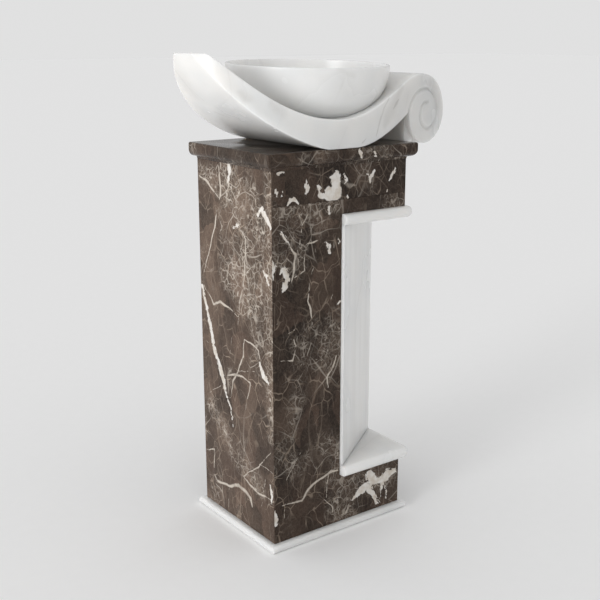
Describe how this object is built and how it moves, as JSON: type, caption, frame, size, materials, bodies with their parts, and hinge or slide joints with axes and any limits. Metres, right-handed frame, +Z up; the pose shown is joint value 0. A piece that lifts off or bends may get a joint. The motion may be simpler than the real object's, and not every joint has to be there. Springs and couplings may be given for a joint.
{
  "type": "pedestal vanity unit",
  "caption": "Free-standing marble pedestal wash basin: a white scroll-shaped basin on a dark square column with a moulded cap, an open corner niche and a pop-up waste.",
  "frame": {"origin": "on the floor under the middle of the column", "axes": "+Z up, +X towards the rolled scroll, -Y towards the front with the niche's long opening"},
  "size_m": [0.535, 0.3179, 0.889],
  "materials": {
    "dark_marble": "polished dark brown marble with a cream vein network",
    "white_marble": "polished white marble with soft grey veins",
    "carcass_paint": "grey primer on square steel bar",
    "cover_steel": "brushed sheet steel",
    "fastener_steel": "plain bright steel",
    "chrome_plate": "polished chrome plate on brass",
    "turned_brass": "turned brass",
    "seal_rubber": "black rubber",
    "trap_plastic": "moulded white plastic"
  },
  "bodies": {
    "pedestal": {"left_panel": "dark_marble", "right_panel": "dark_marble", "front_panel": "dark_marble", "front_header_panel": "dark_marble", "back_panel": "dark_marble", "cap_slab": "dark_marble", "plinth_slab": "white_marble", "niche_back_slab": "white_marble", "niche_shelf_slab": "white_marble", "niche_soffit_slab": "white_marble", "basin_scroll": "white_marble", "basin_bowl": "white_marble", "frame_bottom_ring": "carcass_paint", "frame_top_ring": "carcass_paint", "frame_posts": "carcass_paint", "niche_battens": "carcass_paint", "service_cover": "cover_steel", "cover_screws": "fastener_steel", "cap_studs": "fastener_steel", "cap_nuts": "fastener_steel", "basin_dowels": "fastener_steel", "plug_spring": "fastener_steel", "waste_body": "chrome_plate", "tail_tube": "chrome_plate", "tail_nut": "chrome_plate", "outlet_pipe": "chrome_plate", "pipe_collar": "chrome_plate", "back_nut": "turned_brass", "click_cartridge": "turned_brass", "waste_seal": "seal_rubber", "lower_gasket": "seal_rubber", "tail_washer": "seal_rubber", "trap_inlet_washer": "seal_rubber", "trap_seal": "seal_rubber", "outlet_washer": "seal_rubber", "trap_inlet_nut": "trap_plastic", "trap_body": "trap_plastic", "trap_cup": "trap_plastic", "outlet_nut": "trap_plastic", "stem_bush": "trap_plastic"},
    "plug": {"plug_cap": "chrome_plate", "plug_seal": "seal_rubber", "plug_stem": "turned_brass"}
  },
  "joints": [
    {"name": "plug_lift", "type": "slide", "parent": "pedestal", "child": "plug", "axis": [0, 0, 1], "range_m": [0, 0.009], "deforming": ["plug_spring"]}
  ]
}
